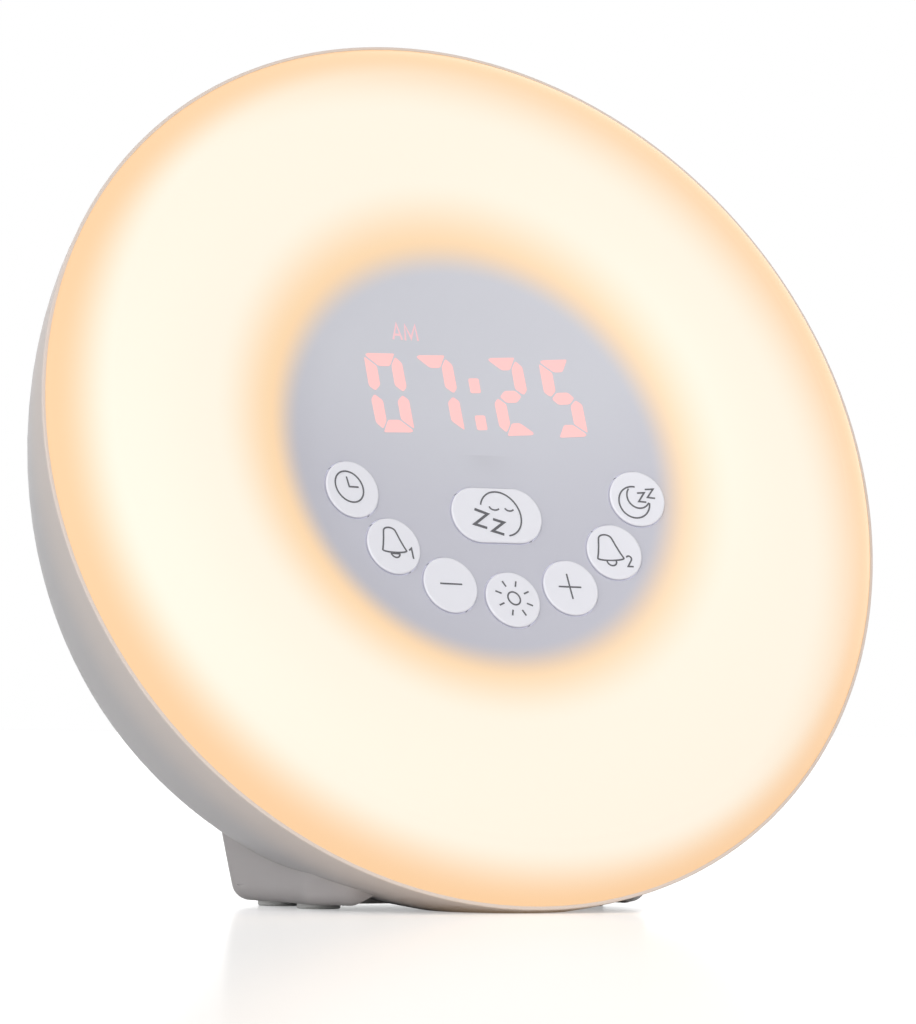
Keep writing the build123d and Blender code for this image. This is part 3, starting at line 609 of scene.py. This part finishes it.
SYMBOLS = {
    "clock": [
        *leaning([ring((-0.6, 0.4), (2.87, 3.0))]), line((-0.95, 2.35), (-0.65, 0.42), (1.3, 0.42)),
    ],
    "alarm_one": [*bell(-0.15, -0.9, 5.0, 4.5), line((3.0, -0.75), (3.55, -0.3), (3.6, -2.4))],
    "minus": [line((-2.2, 0.2), (2.35, 0.15))],
    "light": lamp(),
    "plus": [
        line((-2.5, 0.2), (2.05, 0.05)),
        line((-0.4, 2.75), (-0.27, 0.29)), line((-0.25, -0.04), (-0.1, -2.3)),
    ],
    "alarm_two": [*bell(-1.2, -1.3, 5.3, 4.75), figure_two()],
    "sleep": [
        moon(),
        line((0.05, 1.1), (1.5, 1.15), (0.1, -0.6), (1.6, -0.75)),
        line((1.75, 1.8), (3.4, 1.85), (2.0, 0.2), (3.5, 0.0)),
    ],
    "snooze": [
        *leaning([arc((0.85, 0.25), (4.05, 4.35), 157, -83, 40)]),
        arc((-0.25, 1.75), (1.08, 0.78), 185, 322, 10),
        arc((2.8, 1.65), (1.0, 0.78), 198, 322, 10),
    ],
}
BOLD_LETTERS = {
    "snooze": [
        line((-4.5, 1.05), (-1.95, 0.15), (-5.0, -1.95), (-2.55, -2.65)),
        line((-1.0, -0.85), (1.1, -1.45), (-1.5, -3.2), (0.75, -3.85)),
    ],
}


def key_middle(name):
    """Middle of a key in the disc's frame: its plunger's axis."""
    spot = on_disc(middle(f"{name}_plunger"))
    return spot.x, spot.y


def print_symbol(key, settings, ink):
    """Lays a key's symbol on its hollow top as a thin raised print."""
    edges = []
    for stroke in SYMBOLS[key]:
        edges += stroke_edges(stroke, settings.stroke / MM)
    for stroke in BOLD_LETTERS.get(key, []):
        edges += stroke_edges(stroke, settings.bold / MM)
    piece = flat_shapes(edges)
    over_cap = Matrix.Translation((*key_middle(key), OVER_FRONT))
    lay_on(piece, DISC @ over_cap, f"{key}_key", settings.ink_height)
    settle(piece, f"{key}_symbol", ink, f"{key}_button")


def cap_finish(settings, field):
    """Satin cap with painted shade on its sides, as dark as the field, and a painted glow on them below
    the field.
    """
    material, tree, shader = new_material("key_cap")
    height = over_field(tree)
    # painted shade on the cap's sides
    tint = mix(tree, fade(tree, height, *CAP_PAINTED_SHADE), settings.cap, field)
    surface = made_surface(tree, tint, variation=0.02, grain=FINE_GRAIN, roughness=0.42)
    finish_surface(tree, shader, surface, bump=0.1)
    # painted glow low on the cap's sides, in place of the gap's shade
    shine(tree, shader, mix(tree, fade(tree, height, *CAP_PAINTED_GLOW), BLACK, PAINTED_GAP_GLOW))
    return material


class CLOCK_OT_keys(Operator):
    """Finish the eight keys and print their symbols"""
    bl_idname = "clock.keys"
    bl_label = "Keys and symbols"

    def execute(self, context):
        settings = context.scene.clock_keys
        cap = cap_finish(settings, context.scene.clock_front.field_painted_shade)
        stem = plain_finish("switch_plunger", linear(232, 228, 214), grain=FINE_GRAIN)
        ink = plain_finish("symbol_ink", settings.ink, variation=0.1, grain=0.2 * MM, roughness=0.6)
        for key in KEY_NAMES:
            dress(cap, f"{key}_key")
            dress(stem, f"{key}_plunger")
            print_symbol(key, settings, ink)
        return {"FINISHED"}


# ---------------------------------------------------------------- display
# All sizes and places of the display are in millimetres on the disc.
FIGURE_HEIGHT = 15.3
FIGURES = (                  # figure, its middle and its width
    ("0", (-18.5, 11.3), 8.0),
    ("7", (-7.75, 11.6), 7.7),
    ("2", (7.05, 11.8), 7.3),
    ("5", (17.85, 11.7), 7.4),
)
BARS_OF_FIGURE = {
    "0": "abcdef", "1": "bc", "2": "abdeg", "3": "abcdg", "4": "bcfg", "5": "acdfg",
    "6": "acdefg", "7": "abc", "8": "abcdefg", "9": "abcdfg",
}
COLON_BLOCK = (2.2, 2.9)
COLON_PLACES = ((-0.2, 13.7), (0.1, 6.45))
MARK_STROKE = 0.42           # width of the strokes of the letters A and M
MARK_STROKES = (
    line((-16.15, 21.85), (-15.25, 24.9), (-14.3, 21.85)), line((-15.7, 22.8), (-14.75, 22.8)),
    line((-13.6, 21.8), (-13.45, 24.8), (-12.35, 22.3), (-11.3, 24.85), (-10.95, 21.85)),
)
LIT_HEIGHT = 0.04 * MM       # height of the lit shapes on the field
LIT_SHARE = 0.78             # share of a lit shape's colour that is its own light
LIT_REFLECTED = 0.25         # share of it that the surface reflects


def figure_bars(width, bar):
    """Outlines of the seven bars a to g of one figure, centred on the origin.

    The upper left corner of a figure is full and its upper right one is cut off. The lower half is
    the upper half turned round.
    """
    w, h, t = width / 2, FIGURE_HEIGHT / 2, bar
    top = [(0.25 - w, h - 0.4), (0.65 - w, h), (w - 1.4, h), (w - 2.8, h - t), (t - w + 0.35, h - t)]
    left = [(-w, h - 0.65), (t - w, h - t - 0.1), (t - w, 1.5), (t / 2 - w, 0.4), (-w, 1.35)]
    right = [
        (w - 1.4, h - 0.65), (w - 0.1, h - 1.9), (w, 1.2), (w - 0.85, 0.25), (w - t, 1.5),
        (w - t, h - 2.3),
    ]
    cross = [
        (t / 2 - w + 0.15, 0), (t - w + 0.1, t / 2 - 0.05), (w - t - 0.1, t / 2 - 0.05),
        (w - t / 2 - 0.15, 0), (w - t - 0.1, 0.05 - t / 2), (t - w + 0.1, 0.05 - t / 2),
    ]
    turned = [[(-x, -y) for x, y in shape] for shape in (left, top, right)]
    return dict(zip("abfgcde", (top, right, left, cross, *turned)))


def block(width, height):
    """Corners of a box centred on the origin."""
    x, y = width / 2, height / 2
    return [(-x, -y), (x, -y), (x, y), (-x, y)]


def placed(outline, x, y, slant):
    """Outline turned by the slant and moved to its place."""
    across, up = cos(slant), sin(slant)
    return [(x + px * across - py * up, y + px * up + py * across) for px, py in outline]


def lit_finish(name, tint):
    """Light that shines through the field, with the field's own faint reflection."""
    material, tree, shader = new_material(name)
    reflected = [c * LIT_REFLECTED for c in tint]
    surface = made_surface(tree, reflected, variation=0.03, grain=FINE_GRAIN, roughness=0.5)
    finish_surface(tree, shader, surface, bump=0.08)
    shine(tree, shader, made_surface(tree, [c * LIT_SHARE for c in tint], variation=0.03)["Colour"])
    return material


def shine_through(name, outlines, material):
    """Lays flat outlines on the field as one lit piece."""
    piece = flat_shapes(outlines)
    lay_on(piece, DISC @ Matrix.Translation((0, 0, OVER_FRONT)), "front_diffuser", LIT_HEIGHT)
    settle(piece, name, material, "root")


class CLOCK_OT_display(Operator):
    """Lay the lit figures on the field, where they shine through it"""
    bl_idname = "clock.display"
    bl_label = "Lit figures"

    def execute(self, context):
        settings = context.scene.clock_display
        outlines = []
        for figure, place, width in FIGURES:
            bars = figure_bars(width, settings.bar / MM)
            outlines += [placed(bars[bar], *place, settings.slant) for bar in BARS_OF_FIGURE[figure]]
        outlines += [placed(block(*COLON_BLOCK), x, y, settings.slant) for x, y in COLON_PLACES]
        rounded = [softened(outline, settings.corner / MM) for outline in outlines]
        shine_through("lit_figures", rounded, lit_finish("lit_figures", settings.figure))
        letters = [edge for stroke in MARK_STROKES for edge in stroke_edges(stroke, MARK_STROKE)]
        shine_through("morning_mark", letters, lit_finish("morning_mark", settings.mark))
        return {"FINISHED"}


# ---------------------------------------------------------------- hidden parts
class CLOCK_OT_inside(Operator):
    """Finish the boards, the loudspeaker, the battery contacts and the fasteners"""
    bl_idname = "clock.inside"
    bl_label = "Inner parts"

    def execute(self, context):
        screws = plain_finish("zinc_screw", linear(190, 192, 196), metallic=1.0, roughness=0.35)
        contacts = plain_finish("contact_metal", linear(205, 203, 196), metallic=1.0, roughness=0.3)
        mask = plain_finish("mask_black", linear(38, 38, 40), roughness=0.7)
        foam = plain_finish("seal_foam", linear(48, 48, 50), roughness=0.95, bump=0.8)
        boards = plain_finish("board_green", linear(40, 92, 62), variation=0.3, roughness=0.4)
        ring_board = plain_finish("board_white", linear(236, 236, 232), roughness=0.5)
        lamps = plain_finish("lamp_yellow", linear(240, 206, 96), roughness=0.35)
        tray = plain_finish("reflector_white", linear(240, 240, 238), roughness=0.6)
        bars = plain_finish("display_face", linear(210, 150, 148), roughness=0.5)
        switches = plain_finish("switch_housing", linear(44, 44, 46), roughness=0.5)
        basket = plain_finish("basket_black", linear(52, 52, 54), roughness=0.45)
        cone = plain_finish("cone_paper", linear(70, 68, 66), roughness=0.9, bump=0.6)
        magnet = plain_finish("magnet_ferrite", linear(74, 74, 76), roughness=0.6, bump=0.4)
        dress(screws, "case_screws", "foot_screws", "board_screws", "speaker_screws")
        dress(contacts, "battery_contacts", "supply_socket")
        dress(mask, "centre_shroud", "display_module")
        dress(foam, "seal_ring")
        dress(boards, "main_board", "power_board")
        dress(ring_board, "led_board")
        dress(lamps, "led_emitters")
        dress(tray, "reflector_tray")
        dress(bars, "display_segments")
        dress(switches, "tact_switches")
        dress(basket, "speaker_frame")
        dress(cone, "speaker_cone")
        dress(magnet, "speaker_magnet")
        return {"FINISHED"}


class CLOCK_OT_pads(Operator):
    """Finish the clear pads under the foot"""
    bl_idname = "clock.pads"
    bl_label = "Clear pads"

    def execute(self, context):
        dress(plain_finish("clear_pad", linear(222, 222, 220), roughness=0.3, bump=0.1), "foot_pads")
        return {"FINISHED"}


# ---------------------------------------------------------------- studio
LAMPS = (                    # name, direction it shines from, strength
    ("front_lamp", (-0.35, -0.85, 0.35), 0.48),
    ("left_lamp", (-0.95, -0.15, 0.3), 0.24),
    ("back_lamp", (0.6, 0.9, 0.1), 0.25),
)
SOFTNESS = radians(60)       # how broad the lamps look from the clock
FLOOR_LEVEL = 1.03           # level that the camera sees on the open floor, just over white
FLOOR_SIZE = 60              # metres, so that its edge lies beyond the view
MIRROR_ROUGHNESS = 0.16      # blurs the mirror image in the floor


def soft_sun(name, direction, strength):
    """Broad lamp far off that shines from a direction; a strength of 1 shows a white wall as white."""
    turn = Vector(direction).to_track_quat("Z", "Y").to_euler()
    bpy.ops.object.light_add(type="SUN", location=direction, rotation=turn)
    lamp = bpy.context.object
    lamp.name = name
    lamp.data.angle = SOFTNESS
    lamp.data.energy = strength * pi


def floor_finish(settings, lit):
    """Pale glossy floor that the camera sees as white, and that keeps the clock's shadow."""
    material, tree, shader = new_material("pale_floor")
    surface = made_surface(tree, settings.floor, variation=0.0, grain=2 * MM, roughness=0.6)
    finish_surface(tree, shader, surface, bump=0.0)
    shader.inputs["Specular IOR Level"].default_value = 0.0
    seen = node(tree, "ShaderNodeLightPath").outputs
    straight = calc(tree, "MULTIPLY", seen["Is Camera Ray"], FLOOR_LEVEL - settings.floor[0] * lit)
    added = node(tree, "ShaderNodeEmission", {"Color": (1, 1, 1, 1), "Strength": straight})
    both = node(tree, "ShaderNodeAddShader", {0: shader.outputs[0], 1: added.outputs[0]})
    mirror = node(tree, "ShaderNodeBsdfGlossy", {"Color": (1, 1, 1, 1), "Roughness": MIRROR_ROUGHNESS})
    parts = {0: settings.shine, 1: both.outputs[0], 2: mirror.outputs[0]}
    glossy = node(tree, "ShaderNodeMixShader", parts)
    tree.links.new(glossy.outputs[0], tree.nodes["Material Output"].inputs["Surface"])
    return material


def make_world(strength):
    """Even light from all round that shows as white."""
    world = bpy.data.worlds.new("studio")
    bpy.context.scene.world = world
    world.use_nodes = True
    tree = world.node_tree
    shader = tree.nodes["Background"]
    shader.inputs["Color"].default_value = (1, 1, 1, 1)
    rays = node(tree, "ShaderNodeLightPath").outputs
    direct = calc(tree, "MAXIMUM", rays["Is Camera Ray"], rays["Is Transmission Ray"])
    shown = calc(tree, "MAXIMUM", direct, rays["Is Glossy Ray"])
    level = calc(tree, "MAXIMUM", shown, strength)
    tree.links.new(level, shader.inputs["Strength"])


class CLOCK_OT_studio(Operator):
    """Set up the floor, the lights, the white surroundings and the camera"""
    bl_idname = "clock.studio"
    bl_label = "Studio"

    def execute(self, context):
        settings = context.scene.clock_studio
        bpy.ops.object.select_all(action="DESELECT")
        bpy.ops.mesh.primitive_plane_add(size=FLOOR_SIZE, location=(0, 0, 0))
        floor = context.object
        floor.name = "floor"
        lit = settings.world
        for name, direction, strength in LAMPS:
            soft_sun(name, direction, strength)
            lit += strength * Vector(direction).normalized().z
        floor.data.materials.append(floor_finish(settings, lit))
        make_world(settings.world)
        bpy.ops.object.camera_add(location=settings.camera_place)
        camera = context.object
        camera.name = "camera"
        turn = (
            Matrix.Rotation(-settings.camera_heading, 4, "Z")
            @ Matrix.Rotation(pi / 2 + settings.camera_rise, 4, "X")
            @ Matrix.Rotation(settings.camera_roll, 4, "Z")
        )
        camera.rotation_euler = turn.to_euler()
        camera.data.lens = settings.lens
        camera.data.sensor_width = 36
        camera.data.clip_start, camera.data.clip_end = 0.01, 100
        context.scene.camera = camera
        context.scene.view_settings.view_transform = "Standard"
        return {"FINISHED"}


class CLOCK_PT_parts(Panel):
    """Lists the steps and their settings"""
    bl_label = "Sunrise alarm clock"
    bl_idname = "CLOCK_PT_parts"
    bl_space_type = "VIEW_3D"
    bl_region_type = "UI"
    bl_category = "Clock"

    def draw(self, context):
        for step in STEPS:
            self.layout.operator(step.bl_idname)
        for group, settings in SETTINGS.items():
            box = self.layout.box()
            box.label(text=settings.__doc__)
            for name in settings.__annotations__:
                box.prop(getattr(context.scene, group), name)


STEPS = (
    CLOCK_OT_shell, CLOCK_OT_front, CLOCK_OT_keys, CLOCK_OT_display, CLOCK_OT_inside, CLOCK_OT_pads,
    CLOCK_OT_studio,
)


def register():
    for made in (*SETTINGS.values(), *STEPS, CLOCK_PT_parts):
        bpy.utils.register_class(made)
    for group, settings in SETTINGS.items():
        setattr(bpy.types.Scene, group, PointerProperty(type=settings))


def unregister():
    for group in SETTINGS:
        delattr(bpy.types.Scene, group)
    for made in reversed((*SETTINGS.values(), *STEPS, CLOCK_PT_parts)):
        bpy.utils.unregister_class(made)


def main():
    register()
    bpy.ops.clock.shell()
    bpy.ops.clock.front()
    bpy.ops.clock.keys()
    bpy.ops.clock.display()
    bpy.ops.clock.inside()
    bpy.ops.clock.pads()
    bpy.ops.clock.studio()


if __name__ == "__main__":
    main()
